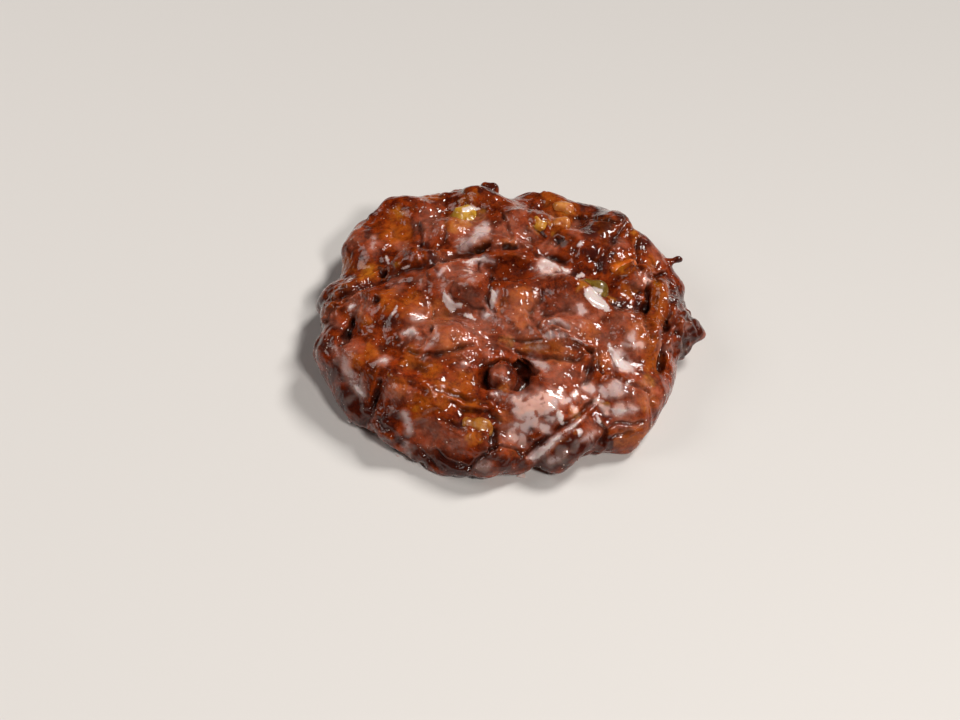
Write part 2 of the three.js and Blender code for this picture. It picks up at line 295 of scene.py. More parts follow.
# Ridges: height in millimetres, and the rest as for the creases
RIDGES = {
    "fold": (0.9, 4.5, [(336, 308), (355, 300), (375, 291), (395, 283), (415, 277), (441, 269)]),
    "fold_right": (0.8, 4.5, [(441, 269), (465, 262), (490, 258), (515, 256), (540, 263), (566, 271)]),
    "left_flap": (0.7, 1.1, [(361, 229), (368, 221), (376, 212), (383, 205)]),
    "pocket_rim": (0.6, 1.1, [(374, 267), (380, 266), (386, 268)]),
    "back_lens": (0.5, 1.1, [(423, 195), (430, 198), (441, 198)]),
    "skin": (0.9, 1.5, [(323, 319), (329, 310), (336, 304), (346, 300), (357, 298), (366, 295)]),
    "slit_rim": (0.7, 1.2, [(339, 335), (344, 328), (350, 319)]),
    "ripple_outer": (1.2, 1.8, [(540, 327), (546, 322), (554, 320), (564, 322), (573, 326)]),
    "ripple_inner": (1.0, 1.5, [(543, 332), (548, 327), (554, 326), (561, 328), (568, 333)]),
    "spike": (1.0, 1.1, [(570, 336), (578, 341), (586, 345), (593, 348)]),
    "star": (0.5, 1.0, [(386, 348), (393, 351), (400, 355), (406, 357)]),
    "star_low": (0.5, 1.0, [(389, 361), (396, 357), (404, 355)]),
    "crater": (0.7, 1.3, [(425, 328), (430, 323), (435, 328), (434, 334), (429, 336), (425, 332)]),
    "crescent": (0.6, 1.4, [(417, 350), (424, 348), (428, 342), (427, 338)]),
    "glaze_rim": (
        0.6, 1.2, [(452, 363), (457, 361), (463, 364), (470, 367), (472, 362), (468, 358), (463, 357)],
    ),
    "strand_mid": (0.5, 1.1, [(474, 338), (486, 341), (500, 345), (510, 352)]),
    "strand_mid_high": (0.5, 1.1, [(478, 332), (490, 335), (503, 337), (513, 337)]),
    "hollow_right": (0.9, 1.3, [(514, 353), (523, 360), (532, 367), (539, 376)]),
    "hollow_left": (0.6, 1.2, [(490, 350), (498, 353), (502, 358), (501, 363)]),
    "lip": (0.9, 2.0, [(478, 403), (488, 403), (496, 408), (500, 416)]),
    "strand_front": (1.0, 2.6, [(443, 397), (456, 402), (470, 407), (484, 410)]),
    "strand_front_high": (0.8, 2.0, [(438, 384), (453, 390), (468, 395)]),
    "front_crescent": (0.5, 1.0, [(500, 450), (508, 449), (516, 452)]),
    "roll_end_edge": (0.5, 1.0, [(586, 457), (596, 450), (604, 440), (608, 433)]),
    "right_fork": (0.7, 1.2, [(634, 258), (633, 268), (639, 275), (644, 283)]),
    "right_fork_left": (0.7, 1.2, [(633, 270), (626, 274), (620, 277)]),
    "blade": (1.5, 5.0, [(661, 284), (661, 300), (658, 315), (656, 328)]),
    "ragged_top": (1.0, 2.0, [(673, 284), (675, 295), (674, 304)]),
    "ragged_tip": (1.2, 2.2, [(685, 314), (689, 322), (694, 331)]),
    "ragged_mid": (1.2, 2.2, [(679, 318), (681, 330), (679, 345), (676, 357)]),
    "ragged_inner": (1.0, 2.0, [(669, 340), (671, 350), (668, 362)]),
    "ragged_low": (1.1, 2.0, [(690, 341), (684, 350), (680, 361)]),
}

# Spots of colour on the crust: each has a pixel of the photo and a radius in pixels
# Amber crust
AMBER = [
    (430, 192, 14), (470, 197, 12), (550, 196, 14), (590, 197, 12), (398, 215, 12), (397, 232, 22),
    (345, 265, 14), (368, 272, 14), (456, 222, 16), (562, 215, 22), (538, 226, 10), (482, 246, 10),
    (509, 244, 9), (622, 266, 15), (637, 234, 10), (662, 292, 12), (660, 306, 12), (657, 320, 10),
    (640, 330, 18), (648, 345, 18), (652, 362, 15), (604, 362, 12), (524, 300, 20), (520, 318, 14),
    (555, 350, 16), (526, 345, 14), (440, 312, 20), (450, 343, 20), (412, 304, 18), (388, 300, 15),
    (372, 352, 14), (363, 318, 9), (412, 358, 16), (357, 362, 12), (399, 387, 14), (420, 407, 18),
    (442, 396, 22), (462, 384, 20), (470, 405, 14), (505, 418, 9), (505, 388, 7), (548, 453, 5),
    (556, 446, 5), (565, 439, 5), (575, 431, 5), (472, 437, 12), (575, 412, 10), (648, 403, 14),
    (640, 436, 22), (622, 440, 14), (345, 285, 8), (630, 290, 12), (590, 330, 16), (565, 357, 12),
    (430, 370, 14), (605, 225, 12), (650, 262, 10), (500, 305, 10),
]
# Paler, golden crust
GOLD = [
    (455, 226, 8), (464, 222, 9), (460, 202, 6), (545, 222, 6), (366, 272, 8), (395, 265, 6), (452, 228, 8),
    (478, 212, 8), (478, 249, 5), (540, 228, 6), (554, 233, 5), (584, 283, 8), (612, 297, 7), (389, 374, 4),
    (506, 342, 8), (530, 347, 10), (541, 347, 8), (503, 391, 5), (416, 411, 7), (467, 437, 6),
    (481, 441, 5), (575, 413, 7), (604, 405, 6), (648, 382, 10), (635, 231, 6), (657, 285, 6),
    (645, 410, 7), (565, 210, 9), (620, 268, 7), (399, 213, 6),
]
# Pink haze of thin glaze, partly painted light: a painted sheen, and painted light on the lower front and
# on the top of the ball
HAZE_AND_LIGHT = [
    (373, 240, 10), (369, 252, 10), (425, 216, 8), (404, 247, 10), (483, 232, 13), (466, 241, 12),
    (515, 206, 7), (523, 212, 7), (498, 242, 9), (527, 236, 14), (548, 247, 10), (470, 263, 10),
    (465, 276, 9), (545, 268, 15), (563, 270, 9), (618, 245, 10), (653, 250, 8), (352, 308, 8),
    (398, 284, 12), (420, 279, 10), (443, 283, 7), (418, 318, 9), (412, 333, 11), (424, 345, 8),
    (384, 360, 9), (337, 353, 7), (350, 366, 9), (455, 306, 9), (493, 298, 7), (469, 315, 7), (487, 314, 8),
    (526, 327, 9), (557, 333, 14), (542, 366, 13), (462, 364, 10), (473, 351, 8), (488, 354, 9),
    (578, 305, 10), (590, 318, 12), (618, 358, 14), (630, 346, 12), (628, 368, 10), (644, 284, 7),
    (688, 326, 5), (671, 348, 7), (410, 394, 9), (535, 404, 24), (522, 420, 14), (556, 400, 18),
    (560, 419, 9), (540, 425, 12), (615, 391, 15), (591, 390, 13), (620, 411, 11), (657, 391, 6),
    (584, 378, 9), (468, 292, 12), (452, 438, 12), (603, 425, 6), (575, 230, 8), (600, 310, 9),
    (660, 258, 9), (436, 440, 9), (625, 318, 12), (640, 326, 10), (537, 348, 10), (498, 373, 10),
    (432, 432, 16), (512, 438, 16), (475, 272, 16), (392, 392, 14), (640, 280, 12), (470, 325, 42),
    (520, 320, 40), (430, 330, 36), (570, 320, 36), (620, 345, 34), (450, 275, 28), (470, 230, 26),
    (510, 232, 24), (350, 235, 18), (430, 225, 20), (560, 370, 26), (640, 395, 26), (625, 422, 16),
    (518, 432, 16), (430, 436, 22), (455, 442, 18), (510, 428, 20), (592, 430, 14), (586, 394, 18),
    (508, 396, 14), (638, 402, 20), (350, 350, 16), (360, 305, 16), (330, 318, 12),
]
# Dark, nearly burnt crust, and painted shade in the hollow round the ball and below some lumps
CHAR_AND_SHADE = [
    (345, 336, 12), (350, 398, 24), (362, 412, 16), (335, 372, 14), (328, 346, 12), (377, 395, 10),
    (385, 425, 13), (398, 416, 10), (400, 440, 10), (427, 458, 16), (490, 455, 14), (480, 467, 16),
    (505, 463, 14), (452, 468, 16), (575, 446, 22), (560, 458, 20), (545, 464, 14), (606, 444, 11),
    (590, 440, 19), (694, 332, 14), (684, 350, 14), (664, 350, 10), (690, 316, 12), (680, 300, 11),
    (676, 288, 8), (698, 334, 8), (686, 338, 9), (691, 323, 10), (493, 187, 10), (480, 190, 8),
    (600, 210, 14), (585, 206, 10), (620, 217, 9), (677, 262, 7), (370, 209, 8), (360, 217, 7),
    (321, 303, 9), (397, 338, 6), (376, 300, 6), (382, 273, 6), (610, 256, 8), (600, 264, 9),
    (330, 325, 10), (522, 380, 14), (486, 376, 8), (492, 382, 10), (510, 370, 8), (460, 424, 7),
    (492, 440, 9), (346, 292, 12), (620, 305, 11), (640, 307, 10), (590, 372, 8), (592, 232, 14),
    (606, 226, 12), (590, 252, 12), (612, 240, 10), (576, 222, 8), (640, 245, 10), (602, 268, 9),
    (440, 462, 14), (465, 470, 14), (415, 455, 12), (520, 462, 10), (580, 440, 14), (470, 292, 12),
    (560, 241, 8), (368, 234, 7), (423, 245, 9), (418, 228, 9), (388, 322, 10), (430, 258, 8),
]
# Torn, silvery film of glaze, partly painted glare where light reflects off it
FILM_AND_GLARE = [
    (524, 402, 13), (536, 400, 14), (549, 399, 12), (560, 398, 9), (530, 414, 12), (540, 412, 10),
    (519, 412, 9), (515, 426, 8), (528, 428, 9), (548, 408, 9), (567, 402, 7), (483, 231, 9), (474, 238, 8),
    (545, 266, 9), (553, 270, 8), (412, 332, 8), (616, 391, 12), (590, 390, 8), (604, 392, 7),
    (618, 357, 10), (625, 366, 8), (632, 338, 8), (638, 345, 7), (448, 300, 6), (464, 362, 6),
    (645, 283, 5), (620, 411, 9), (632, 409, 7), (470, 272, 6), (442, 269, 6), (580, 308, 7), (585, 388, 7),
    (575, 395, 6), (511, 436, 8), (521, 440, 8), (523, 421, 10), (534, 424, 8), (545, 429, 8),
    (552, 418, 8), (574, 410, 7), (597, 403, 7), (606, 410, 7),
]
# Bare crust in that film
FILM_HOLES = [
    (533, 434, 7), (546, 421, 5), (526, 398, 5), (553, 413, 5), (519, 420, 5), (536, 416, 4), (512, 405, 6),
    (541, 398, 3), (566, 408, 4),
]
# Painted grey sheen, a reflection of cool light
COOL_SHEEN = [
    (560, 419, 7), (563, 455, 12), (484, 466, 9), (357, 388, 13), (348, 376, 11), (340, 362, 9),
    (350, 400, 8), (408, 432, 9), (405, 418, 8), (408, 450, 8), (552, 461, 9), (575, 446, 8), (562, 243, 6),
    (392, 412, 7), (682, 347, 7),
]

# Thick white glaze, and painted glints: the pixels that each patch, trickle or glint runs through, with its
# half width in pixels
MILK_AND_GLINTS = {
    "knob_left": [(445, 291, 1.0), (445, 297, 3.0), (449, 303, 4.2), (452, 307, 4.2), (451, 312, 1.2)],
    "knob_left_arm": [(452, 306, 3.5), (460, 305, 2.6)],
    "knob_right": [(492, 291, 1.6), (494, 296, 3.4), (493, 303, 2.2), (492, 309, 0.6)],
    "knob_low_left": [(466, 315, 2.2), (470, 316, 2.6), (475, 320, 0.8)],
    "knob_low_right": [(485, 316, 1.6), (488, 314, 2.0)],
    "bright_high": [(578, 246, 1.6), (581, 243, 2.4)],
    "bright_low": [(577, 277, 1.6), (582, 275, 2.6)],
    "apple_right_side": [
        (588, 291, 3.4), (590, 296, 5.2), (595, 299, 6.6), (601, 304, 5.6), (606, 308, 3.6),
    ],
    "apple_right_end": [(606, 309, 3.2), (610, 311, 1.4)],
    "apple_right_top": [(588, 290, 3.0), (594, 290, 4.0), (600, 291, 2.4)],
    "right_big": [(609, 342, 0.8), (611, 348, 2.2), (615, 356, 3.6), (619, 363, 4.2)],
    "right_big_low": [(619, 363, 4.2), (625, 368, 2.8), (630, 370, 1.0)],
    "right_front": [(611, 409, 1.0), (617, 411, 2.4), (625, 411, 1.6)],
    "roll_end": [(531, 458, 1.6), (537, 455, 4.2), (543, 450, 3.6), (549, 445, 2.0)],
    "roll_edge": [(549, 445, 1.8), (558, 437, 1.5), (567, 430, 1.2), (576, 425, 0.9), (584, 418, 0.4)],
    "roll_bead": [(557, 411, 1.4), (560, 417, 3.8), (563, 423, 2.0)],
    "roll_spot": [(597, 415, 1.0), (599, 421, 2.2), (602, 426, 0.6)],
    "left_roll": [(355, 385, 1.0), (358, 389, 2.4), (362, 393, 1.2)],
    "left_shoulder": [(349, 308, 1.4), (353, 306, 2.0), (356, 305, 0.8)],
    "left_glint": [(381, 362, 1.0), (385, 360, 1.8), (389, 360, 0.8)],
    "crater": [(404, 333, 1.6), (411, 331, 2.6), (418, 334, 1.4)],
    "spike": [(570, 337, 0.6), (581, 342, 0.9), (592, 348, 0.4)],
    "left_streak": [(397, 304, 0.6), (395, 311, 1.6), (393, 317, 0.6)],
    "left_back": [(347, 281, 1.2), (351, 279, 1.6)],
    "back_left": [(387, 256, 1.2), (388, 260, 2.0), (389, 263, 1.0)],
    "back_strip": [(403, 268, 0.8), (407, 267, 1.4), (410, 265, 0.8)],
    "ridge_strand": [(460, 263, 0.6), (472, 260, 1.6), (484, 259, 2.0), (494, 262, 0.6)],
    "back_wedge": [(541, 268, 2.0), (546, 262, 3.4), (553, 265, 2.6), (560, 270, 1.0)],
    "back_drop": [(562, 268, 1.6), (568, 271, 2.2)],
    "apple_back": [(464, 209, 1.6), (471, 208, 2.6), (479, 208, 1.6)],
}

# Thin glaze and painted highlights: how white each is, and the pixels that each runs through, with its half
# width in pixels
VEILS_AND_HIGHLIGHTS = {
    "back_pool": (0.9, [(486, 223, 2), (481, 231, 6), (475, 240, 3)]),
    "back_pool_left": (0.6, [(475, 240, 4), (460, 245, 5)]),
    "back_wedge": (0.85, [(540, 269, 3), (545, 264, 5), (553, 267, 3), (560, 273, 1)]),
    "back_drop": (0.7, [(563, 270, 3), (567, 271, 2)]),
    "ridge": (0.6, [(470, 262, 2), (484, 259, 3), (493, 262, 1)]),
    "knob_top": (0.55, [(460, 276, 1), (468, 278, 3), (474, 281, 1)]),
    "knob_right": (0.5, [(497, 293, 2), (496, 301, 2)]),
    "knob_low_right": (0.6, [(484, 316, 3), (490, 313, 3)]),
    "ripple": (0.8, [(543, 330, 1), (549, 324, 2), (559, 322, 2), (568, 327, 1)]),
    "ripple_low": (0.7, [(546, 336, 3), (556, 332, 4), (566, 336, 2)]),
    "glassy": (0.5, [(530, 347, 1), (538, 347, 3), (545, 347, 1)]),
    "hole_side": (0.6, [(528, 355, 1), (538, 362, 3), (546, 369, 4)]),
    "ball": (0.75, [(502, 375, 1), (506, 380, 2.5)]),
    "bead": (0.7, [(490, 395, 1), (495, 396, 2)]),
    "left_patch": (0.5, [(374, 240, 2), (372, 248, 2)]),
    "left_glint": (0.5, [(378, 363, 2), (386, 360, 3)]),
    "crater_arc": (0.55, [(436, 326, 1), (438, 334, 1), (432, 342, 2), (425, 349, 1)]),
    "left_shoulder": (0.5, [(349, 308, 2), (354, 306, 2)]),
    "mid_left": (0.55, [(414, 317, 3), (421, 317, 3)]),
    "crater": (0.55, [(404, 332, 3), (413, 333, 3)]),
    "right_big": (0.6, [(613, 348, 3), (620, 358, 6), (630, 366, 4)]),
    "right_big_top": (0.5, [(624, 344, 3), (634, 347, 3)]),
    "right_front": (0.5, [(610, 409, 4), (620, 411, 5), (632, 410, 3)]),
    "roll_top": (0.6, [(533, 457, 5), (545, 448, 5), (558, 436, 3), (570, 428, 2), (584, 418, 1)]),
    "roll_belly": (0.5, [(551, 460, 3), (559, 456, 4), (567, 451, 2)]),
    "roll_back": (0.45, [(580, 441, 1), (588, 437, 3), (595, 432, 1)]),
    "left_roll": (0.5, [(335, 350, 2), (345, 364, 4), (352, 378, 5), (359, 389, 5), (363, 396, 3)]),
    "left_low": (0.5, [(404, 412, 3), (407, 422, 4), (410, 431, 3)]),
    "low_left": (0.5, [(405, 445, 3), (409, 453, 3)]),
    "front_lump": (0.35, [(480, 464, 3), (488, 466, 3)]),
}
# How far their edges fade each way, in pixels
MILK_AND_GLINT_EDGE = 4.0
VEIL_AND_HIGHLIGHT_EDGE = 4.0

# Colours on the crust: their spots, and patches at random with a seed, a size in millimetres,
# the noise where they begin and where they are full, and their share where the photo shows the crust
PAINTS = {
    "amber": (AMBER, 51, 13.0, 0.0, 0.6, 0.25),
    "gold": (GOLD, 53, 11.0, 0.4, 0.9, 0.1),
    "haze_and_light": (HAZE_AND_LIGHT, 55, 10.0, 0.2, 0.8, 0.15),
    "film_and_glare": (FILM_AND_GLARE, 59, 12.0, 0.5, 0.9, 0.0),
    "char_and_shade": (CHAR_AND_SHADE, 57, 15.0, 0.1, 0.7, 0.1),
    "cool_sheen": (COOL_SHEEN, 61, 12.0, 0.5, 0.9, 0.0),
}

# Drips and crumbs of glaze on the floor: radius in millimetres, and the pixels that each runs through
DRIPS = {
    "comma": (1.0, [(521, 467), (525, 470), (525, 475), (519, 477)]),
    "left_crumb": (0.8, [(348, 421), (351, 423)]),
    "low_left_crumb": (0.7, [(395, 455), (398, 457)]),
    "low_left_speck": (0.5, [(387, 449), (388, 450)]),
}
# Their unevenness, its size, how much flatter than a round rod they are, and the height of their underside
DRIP_UNEVENNESS = 0.35
DRIP_UNEVEN_SIZE = 1.6
DRIP_FLATNESS = 1.6
DRIP_UNDERSIDE = 0.02

# Colours, as web codes
MAHOGANY_TONE = "450e02"
RED_BROWN_TONE = "872e06"
AMBER_TONE = "a85213"
GOLD_TONE = "b4721c"
# Pink haze, also used for painted sheen and painted light
HAZE_AND_LIGHT_TONE = "d8886e"
# Burnt crust, also used for painted shade
CHAR_AND_SHADE_TONE = "320b06"
# Painted shade in creases and hollows
CREVICE_SHADE_TONE = "220702"
# Glaze film, partly painted glare
FILM_AND_GLARE_TONE = "eab9ab"
# White glaze, also used for painted glints
MILK_AND_GLINT_TONE = "d8cac6"
# Thin glaze, also used for painted highlights
VEIL_AND_HIGHLIGHT_TONE = "d2b8b4"
# Sugar sparks, which also paint glints
SPARK_AND_GLINT_TONE = "f2d6c4"
# Painted grey sheen
COOL_SHEEN_TONE = "8a7a74"
DRIP_TONE = "d6b9ae"
# The two colours of each dice's flesh
APPLE_TONES = {
    "apple_back_left": ("a06c12", "c4962c"),
    "apple_back_middle": ("a85e0c", "c88a28"),
    "apple_back_right": ("b05a1c", "c8813c"),
    "apple_back_inner": ("a8541c", "bc7434"),
    "apple_right": ("5e4610", "80631f"),
    "apple_right_sliver": ("b64e08", "d06c18"),
    "apple_front": ("824410", "ab702c"),
}

# The grid that the dough is measured on, and the step of the small pieces' grids
STEP = 0.69
SMALL_STEP = 0.4
GRID_LOW = np.array([-80.0, -74.0, -1.5])
GRID_HIGH = np.array([80.0, 74.0, 42.0])
# The distance that stands for far away from every lump
FAR = 12.0

# The underside: its height over the floor, its unevenness and the size of that
UNDERSIDE_HEIGHT = 0.25
UNDERSIDE_UNEVENNESS = 0.3
UNDERSIDE_SIZE = 14.0
# Its faces are those that face down at least this squarely, up to a height, and it loses a share of them
UNDERSIDE_FLATNESS = 0.9
UNDERSIDE_TOP = 1.0
UNDERSIDE_CUT = 0.9

# Stage: half the floor's side in metres, and plain colours
FLOOR_REACH = 12.0
FLOOR_COLOUR = (0.64, 0.62, 0.60, 1)
BACKDROP_COLOUR = (0.62, 0.60, 0.58, 1)
# The key light: where it comes from, its spread in degrees, strength and colour
KEY_TOWARDS = (0.6, 0.42, 0.85)
KEY_SPREAD = 16
KEY_STRENGTH = 2.6
KEY_COLOUR = (1.0, 0.97, 0.93)
# The area lights: place and side in metres, watts and colour
AREA_LIGHTS = {
    "front": ((0.42, -0.62, 0.85), 0.18, 7, (1.0, 0.96, 0.92)),
    "fill": ((-0.8, 0.1, 0.8), 0.5, 3, (1.0, 0.95, 0.92)),
}


class Noise:
    """A smooth random field between -1 and 1, from a lattice of random numbers that repeats."""

    SIDE = 32

    def __init__(self, seed, size):
        lattice = np.random.default_rng(seed).uniform(-1, 1, (self.SIDE,) * 3)
        self.lattice = lattice.astype(np.float32)
        self.size = size

    def __call__(self, points):
        scaled = np.asarray(points, np.float32) / self.size
        low = np.floor(scaled)
        t = scaled - low
        t = t * t * (3 - 2 * t)
        low = low.astype(np.int64) % self.SIDE
        high = (low + 1) % self.SIDE
        total = np.zeros(len(scaled), np.float32)
        for ends in itertools.product((0, 1), repeat=3):
            weight = np.ones(len(scaled), np.float32)
            index = []
            for axis, end in enumerate(ends):
                weight *= t[:, axis] if end else 1 - t[:, axis]
                index.append(high[:, axis] if end else low[:, axis])
            total += weight * self.lattice[tuple(index)]
        return total


def fractal(points, seed, size, octaves=2):
    """Noise with finer noise added to it, each octave half as large and half as strong."""
    total = np.zeros(len(points), np.float32)
    for octave in range(octaves):
        total += Noise(seed + octave, size / 2**octave)(points) / 2**octave
    return total


def wobble(points, seed, size):
    """A random shift for each point, each way between about -1 and 1."""
    return np.stack([fractal(points, seed + 10 * axis, size) for axis in range(3)], axis=1)


def smooth_step(low, high, values):
    """Zero below low and one above high, with a smooth rise between them."""
    t = np.clip((values - low) / (high - low), 0, 1)
    return t * t * (3 - 2 * t)


# Shape of the dough, as a distance to its surface that is less than zero inside


def unswayed(points):
    """Takes the sway off, so that the lumps can be measured as plain ellipsoids."""
    wave = 2 * math.pi / SWAY_WAVE
    x, y, z = points.T
    sway = [np.sin(wave * (a * x + b * y + c * z) + start) for a, b, c, start in SWAYS]
    sway = SWAY * np.stack(sway, axis=1)
    return points - sway - RIPPLE * wobble(points, SEEDS["ripple"], RIPPLE_SIZE)


def turned(a, b, degrees):
    """Lengths along two axes, measured along axes that are turned by an angle."""
    c, s = math.cos(math.radians(degrees)), math.sin(math.radians(degrees))
    return c * a + s * b, c * b - s * a


def ellipsoid(points, lobe):
    """Distance to an ellipsoid's surface, near enough within a few millimetres."""
    x, y, z, length, width, height, turn = lobe
    u, v = turned(points[:, 0] - x, points[:, 1] - y, turn)
    u, v, w = u / length, v / width, (points[:, 2] - z) / height
    radius = np.sqrt(u * u + v * v + w * w)
    slope = np.sqrt((u / length) ** 2 + (v / width) ** 2 + (w / height) ** 2)
    return radius * (radius - 1) / np.maximum(slope, 1e-6)


def near(points, lobe, margin):
    """Index of the points in an ellipsoid's box, widened by a margin."""
    reach = np.array([max(lobe[3:5]), max(lobe[3:5]), lobe[5]]) + margin
    return np.nonzero((np.abs(points - np.array(lobe[:3])) < reach).all(axis=1))[0]


def joined(a, b, soft):
    """Two shapes melted into one, with the seam rounded over this many millimetres."""
    h = np.clip(soft - np.abs(a - b), 0, None) / soft
    return np.minimum(a, b) - h * h * soft / 4


def cut(a, b, soft):
    """The first shape without the second."""
    return -joined(-a, b, soft)


def dough_field(points):
    """The lumps melted together, before gaps and relief."""
    plain = unswayed(points)
    field = np.full(len(points), FAR)
    for lobe in LOBES.values():
        soft = min(MELT_SHARE * min(lobe[3:6]), MELT_MOST)
        index = near(plain, lobe, MELT_MOST)
        field[index] = joined(field[index], ellipsoid(plain[index], lobe), soft)
    return field


def relief(points):
    """Folds and lumps, as a height to take off the surface."""
    lines = fractal(points, SEEDS["folds"], FOLD_SIZE)
    depth = FOLD_DEPTH * smooth_step(-0.1, 0.4, Noise(SEEDS["fold_depth"], FOLD_PATCH_SIZE)(points))
    folds = depth * np.exp(-((lines / FOLD_SHARPNESS) ** 2))
    return folds + LUMP_HEIGHT * fractal(points, SEEDS["lumps"], LUMP_SIZE)


# Places that are read off the photo


def pixel_rays(pixels):
    """Directions from the camera through pixels of the photo."""
    right = (pixels[:, 0] - IMAGE_WIDTH / 2) / FOCAL_PIXELS
    down = (pixels[:, 1] - IMAGE_HEIGHT / 2) / FOCAL_PIXELS
    c, s = math.cos(CAMERA_TILT), math.sin(CAMERA_TILT)
    rays = np.stack([right, c - down * s, -(s + down * c)], axis=1)
    return rays / np.linalg.norm(rays, axis=1, keepdims=True)


def seen_at(pixels, sunk=0.0):
    """Points of the surface, or of the floor, at pixels of the photo, sunk further along the view."""
    pixels = np.asarray(pixels, float)
    rays = pixel_rays(pixels)
    start = (SEARCH_TOP - CAMERA_PLACE[2]) / rays[:, 2]
    end = -CAMERA_PLACE[2] / rays[:, 2]
    share = np.linspace(0, 1, SEARCH_STEPS)
    lengths = start[:, None] + (end - start)[:, None] * share
    points = CAMERA_PLACE + lengths[:, :, None] * rays[:, None, :]
    inside = dough_field(points.reshape(-1, 3)).reshape(lengths.shape) < 0
    inside[:, -1] = True
    hit = inside.argmax(axis=1)
    return points[np.arange(len(pixels)), hit] + sunk * rays


def to_pixels(points):
    """Where points show in the photo."""
    c, s = math.cos(CAMERA_TILT), math.sin(CAMERA_TILT)
    x, y, z = (points - CAMERA_PLACE).T
    scale = FOCAL_PIXELS / (c * y - s * z)
    return np.stack([IMAGE_WIDTH / 2 + scale * x, IMAGE_HEIGHT / 2 - scale * (s * y + c * z)], axis=1)


def line_gap(points, path):
    """Distance from points to a bent line, in the plane or in space."""
    path = np.asarray(path, float)
    close = np.full(len(points), np.inf)
    for a, b in zip(path[:-1], path[1:]):
        t = np.clip((points - a) @ (b - a) / ((b - a) @ (b - a)), 0, 1)
        away = points - a - t[:, None] * (b - a)
        close = np.minimum(close, (away * away).sum(axis=1))
    return np.sqrt(close)


def boxed(points, path, reach):
    """Index of the points in a path's box, widened by a reach."""
    path = np.asarray(path, float)
    low, high = path.min(axis=0) - reach, path.max(axis=0) + reach
    return np.nonzero(((points > low) & (points < high)).all(axis=1))[0]


def with_gaps(points, field):
    """Cuts the deep gaps and pockets, and sets the ball in the hollow."""
    for radius, sunk, pixels in GAPS.values():
        path = seen_at(pixels, sunk)
        index = boxed(points, path, radius + 5)
        ragged = GAP_RAGGEDNESS * fractal(points[index], SEEDS["gaps"], GAP_RAGGED_SIZE)
        field[index] = cut(field[index], line_gap(points[index], path) - radius + ragged, GAP_MELT)
    middle = seen_at([BALL], BALL_SUNK)
    index = boxed(points, middle, BALL_RADIUS + 3)
    uneven = BALL_UNEVENNESS * fractal(points[index], SEEDS["ball"], BALL_UNEVEN_SIZE)
    ball = np.linalg.norm(points[index] - middle, axis=1) - BALL_RADIUS + uneven
    field[index] = joined(field[index], ball, BALL_MELT)
    return field


# Meshes from a field on a grid


def grid_points(low, high, step):
    axes = [np.arange(a, b, step) for a, b in zip(low, high)]
    points = np.stack(np.meshgrid(*axes, indexing="ij"), axis=-1)
    return points.reshape(-1, 3), tuple(len(axis) for axis in axes)


def surface_net(field, low, step):
    """Points and quads of the surface where a field on the grid passes through zero."""
    inside = field < 0
    cells = tuple(n - 1 for n in field.shape)

    def corner(values, offset):
        return values[tuple(slice(o, o + n) for o, n in zip(offset, cells))]

    corners = list(itertools.product((0, 1), repeat=3))
    count = sum(corner(inside, offset).astype(np.int8) for offset in corners)
    mixed = (count > 0) & (count < 8)
    number = np.full(cells, -1)
    number[mixed] = np.arange(mixed.sum())
    total = np.zeros((mixed.sum(), 3))
    hits = np.zeros(mixed.sum())
    for a, b in itertools.combinations(corners, 2):
        if sum(abs(p - q) for p, q in zip(a, b)) != 1:
            continue
        at_a, at_b = corner(field, a)[mixed], corner(field, b)[mixed]
        crossed = (at_a < 0) != (at_b < 0)
        t = at_a[crossed] / (at_a[crossed] - at_b[crossed])
        total[crossed] += np.array(a) + t[:, None] * (np.array(b) - np.array(a))
        hits[crossed] += 1
    points = low + step * (np.argwhere(mixed) + total / hits[:, None])
    quads = [axis_quads(inside, number, axis) for axis in range(3)]
    return points, np.concatenate(quads)


def axis_quads(inside, number, axis):
    """A quad round each grid edge along one axis that passes through the surface."""
    one, two = (axis + 1) % 3, (axis + 2) % 3
    start = [slice(1, -1)] * 3
    start[axis] = slice(0, -1)
    end = list(start)
    end[axis] = slice(1, None)
    leaves = inside[tuple(start)] & ~inside[tuple(end)]
    enters = ~inside[tuple(start)] & inside[tuple(end)]
    quads = []
    for crossed, order in ((leaves, (0, 1, 2, 3)), (enters, (3, 2, 1, 0))):
        at = np.argwhere(crossed)
        at[:, one] += 1
        at[:, two] += 1
        ring = []
        for back_one, back_two in ((1, 1), (0, 1), (0, 0), (1, 0)):
            cell = at.copy()
            cell[:, one] -= back_one
            cell[:, two] -= back_two
            ring.append(number[tuple(cell.T)])
        quads.append(np.stack(ring, axis=1)[:, order])
    return np.concatenate(quads)


